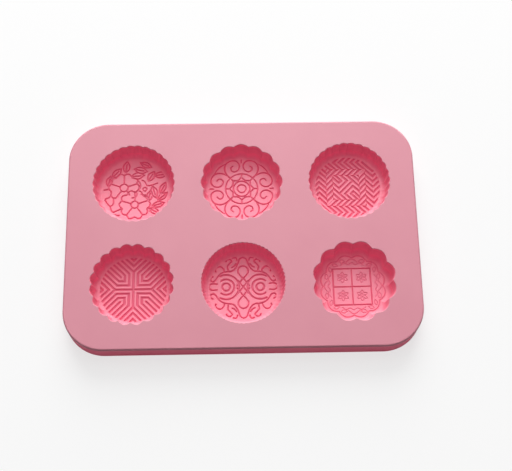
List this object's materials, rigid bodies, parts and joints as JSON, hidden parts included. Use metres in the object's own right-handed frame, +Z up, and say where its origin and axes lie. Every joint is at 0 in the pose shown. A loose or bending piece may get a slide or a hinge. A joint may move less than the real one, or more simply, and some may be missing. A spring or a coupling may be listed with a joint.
{
  "type": "soap mould",
  "caption": "Flexible silicone soap mould: a flat rounded tray of scalloped round cups with engraved floors and a skirt round its edge.",
  "frame": {"origin": "centre of the bounding box at its lowest plane, which is the plane the cups' undersides stand on", "axes": "+X along the tray's long side to the right, +Y from front to back, +Z up out of the cups' mouths"},
  "size_m": [0.281, 0.1914, 0.0185],
  "materials": {
    "silicone": "satin, slightly translucent"
  },
  "bodies": {
    "root": {"deck": "silicone", "skirt": "silicone", "blossom_cup_wall": "silicone", "blossom_cup_floor": "silicone", "mandala_cup_wall": "silicone", "mandala_cup_floor": "silicone", "weave_cup_wall": "silicone", "weave_cup_floor": "silicone", "labyrinth_cup_wall": "silicone", "labyrinth_cup_floor": "silicone", "scroll_cup_wall": "silicone", "scroll_cup_floor": "silicone", "medallion_cup_wall": "silicone", "medallion_cup_floor": "silicone"}
  },
  "joints": []
}
